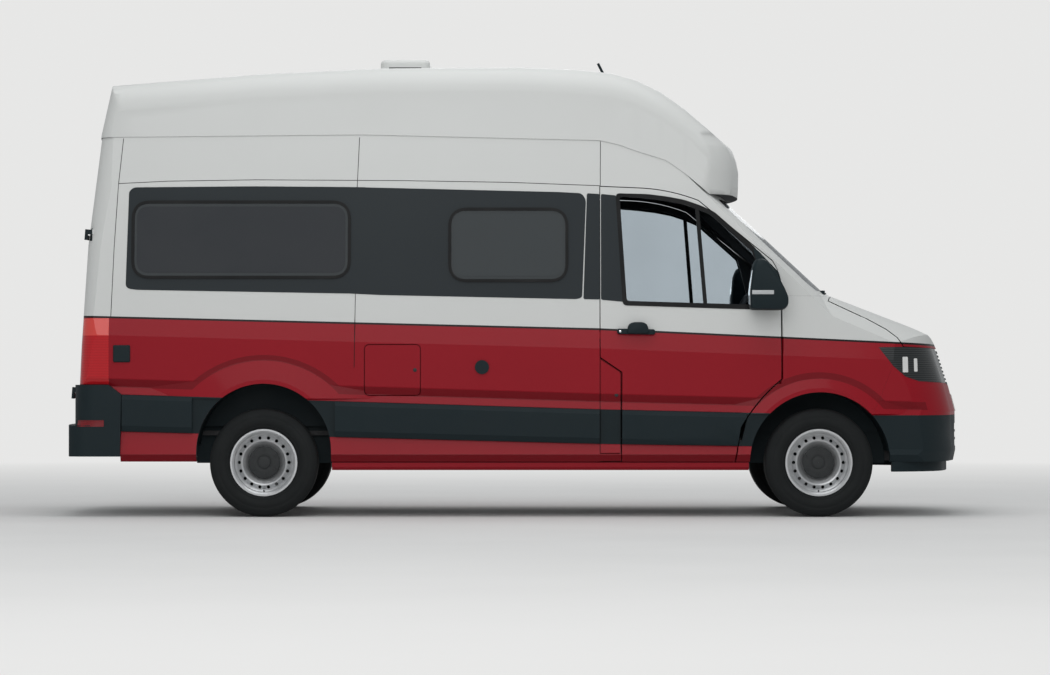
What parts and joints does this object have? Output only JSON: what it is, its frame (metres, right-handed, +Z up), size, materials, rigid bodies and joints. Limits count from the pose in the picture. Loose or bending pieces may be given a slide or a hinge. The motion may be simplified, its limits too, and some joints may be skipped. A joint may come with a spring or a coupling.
{
  "type": "camper van",
  "caption": "Two-tone high-roof camper van with hinged cab doors, rear doors, bonnet and service flaps, on four wheels with a steered front axle.",
  "frame": {"origin": "on the ground at mid length on the centre line", "axes": "+X forward, +Y to the van's left, +Z up"},
  "size_m": [5.984, 2.426, 3.0621],
  "materials": {
    "body_paint": "gloss",
    "roof_paint": "gloss moulded skin",
    "black_trim": "grained",
    "clear_glass": "polished",
    "dark_glass": "tinted acrylic pane",
    "chassis": "satin",
    "bare_steel": "satin",
    "wheel_silver": "satin",
    "tyre": "rubber",
    "lamp_lens": "clear moulding",
    "tail_lens": "red moulding",
    "seat_fabric": "woven",
    "dash_plastic": "grained"
  },
  "bodies": {
    "body": {"floor": "chassis", "chassis_rails": "chassis", "side_wall_right": "body_paint", "side_wall_left": "body_paint", "sliding_door": "body_paint", "slide_cladding": "black_trim", "high_roof": "roof_paint", "cab_frame": "body_paint", "bulkhead": "chassis", "rear_header": "body_paint", "front_wings": "body_paint", "front_bumper": "body_paint", "bumper_valance": "black_trim", "grille": "black_trim", "headlamps": "lamp_lens", "tail_lamps": "tail_lens", "rear_bumper": "black_trim", "sills": "body_paint", "side_cladding": "black_trim", "roof_hatch": "roof_paint", "aerial": "black_trim", "wipers": "black_trim", "filler_caps": "roof_paint", "windscreen": "clear_glass", "side_windows": "dark_glass", "dashboard": "dash_plastic", "seats": "seat_fabric", "engine": "bare_steel", "front_subframe": "chassis", "rear_axle": "chassis", "exhaust": "bare_steel", "fuel_tank": "black_trim", "wheel_houses": "black_trim"},
    "door_right": {"front_door_right": "body_paint", "door_glass_right": "clear_glass", "door_trim_right": "black_trim", "mirror_right": "black_trim"},
    "back_door_right": {"rear_door_right": "body_paint", "rear_glass_right": "clear_glass"},
    "steer_right": {"knuckle_right": "bare_steel"},
    "wheel_front_right": {"rim_front_right": "wheel_silver", "tyre_front_right": "tyre"},
    "wheel_rear_right": {"rim_rear_right": "wheel_silver", "tyre_rear_right": "tyre"},
    "door_left": {"front_door_left": "body_paint", "door_glass_left": "clear_glass", "door_trim_left": "black_trim", "mirror_left": "black_trim"},
    "back_door_left": {"rear_door_left": "body_paint", "rear_glass_left": "clear_glass"},
    "steer_left": {"knuckle_left": "bare_steel"},
    "wheel_front_left": {"rim_front_left": "wheel_silver", "tyre_front_left": "tyre"},
    "wheel_rear_left": {"rim_rear_left": "wheel_silver", "tyre_rear_left": "tyre"},
    "bonnet_lid": {"bonnet": "body_paint"},
    "cassette_lid": {"cassette_flap": "body_paint"},
    "fuel_lid": {"fuel_flap": "body_paint"},
    "helm": {"steering_wheel": "dash_plastic"}
  },
  "joints": [
    {"name": "door_swing_right", "type": "hinge", "parent": "body", "child": "door_right", "pos_m": [1.734, -0.986, 1.2], "axis": [0, 0, 1], "range_deg": [0, 70]},
    {"name": "door_swing_left", "type": "hinge", "parent": "body", "child": "door_left", "pos_m": [1.734, 0.986, 1.2], "axis": [0, 0, -1], "range_deg": [0, 70]},
    {"name": "back_door_swing_right", "type": "hinge", "parent": "body", "child": "back_door_right", "pos_m": [-2.84453, -0.872, 1.5], "axis": [0.0803, 0, 0.9968], "range_deg": [0, 180]},
    {"name": "back_door_swing_left", "type": "hinge", "parent": "body", "child": "back_door_left", "pos_m": [-2.84453, 0.872, 1.5], "axis": [-0.0803, 0, -0.9968], "range_deg": [0, 180]},
    {"name": "bonnet_lift", "type": "hinge", "parent": "body", "child": "bonnet_lid", "pos_m": [2.06, 0, 1.44], "axis": [0, -1, 0], "range_deg": [0, 55]},
    {"name": "cassette_swing", "type": "hinge", "parent": "body", "child": "cassette_lid", "pos_m": [-0.978, -1.012, 0.963], "axis": [0, 0, -1], "range_deg": [0, 110]},
    {"name": "fuel_swing", "type": "hinge", "parent": "body", "child": "fuel_lid", "pos_m": [0.566, -1.008, 0.73], "axis": [0, 0, -1], "range_deg": [0, 90]},
    {"name": "steer_turn_left", "type": "hinge", "parent": "body", "child": "steer_left", "pos_m": [2, 0.8125, 0.356], "axis": [0, 0, 1], "range_deg": [-35, 35]},
    {"name": "steer_turn_right", "type": "hinge", "parent": "body", "child": "steer_right", "pos_m": [2, -0.8125, 0.356], "axis": [0, 0, 1], "range_deg": [-35, 35]},
    {"name": "helm_turn", "type": "hinge", "parent": "body", "child": "helm", "pos_m": [1.47, -0.43, 1.29], "axis": [-0.8829, 0, 0.4695], "range_deg": [-490, 490]},
    {"name": "roll_front_right", "type": "hinge", "parent": "steer_right", "child": "wheel_front_right", "pos_m": [2, -0.8825, 0.356], "axis": [0, 1, 0], "continuous": true},
    {"name": "roll_front_left", "type": "hinge", "parent": "steer_left", "child": "wheel_front_left", "pos_m": [2, 0.8825, 0.356], "axis": [0, 1, 0], "continuous": true},
    {"name": "roll_rear_right", "type": "hinge", "parent": "body", "child": "wheel_rear_right", "pos_m": [-1.64, -0.8825, 0.356], "axis": [0, 1, 0], "continuous": true},
    {"name": "roll_rear_left", "type": "hinge", "parent": "body", "child": "wheel_rear_left", "pos_m": [-1.64, 0.8825, 0.356], "axis": [0, 1, 0], "continuous": true}
  ],
  "couplings": [
    {"joint": "steer_turn_right", "follows": "steer_turn_left", "ratio": 1},
    {"joint": "helm_turn", "follows": "steer_turn_left", "ratio": 14}
  ]
}
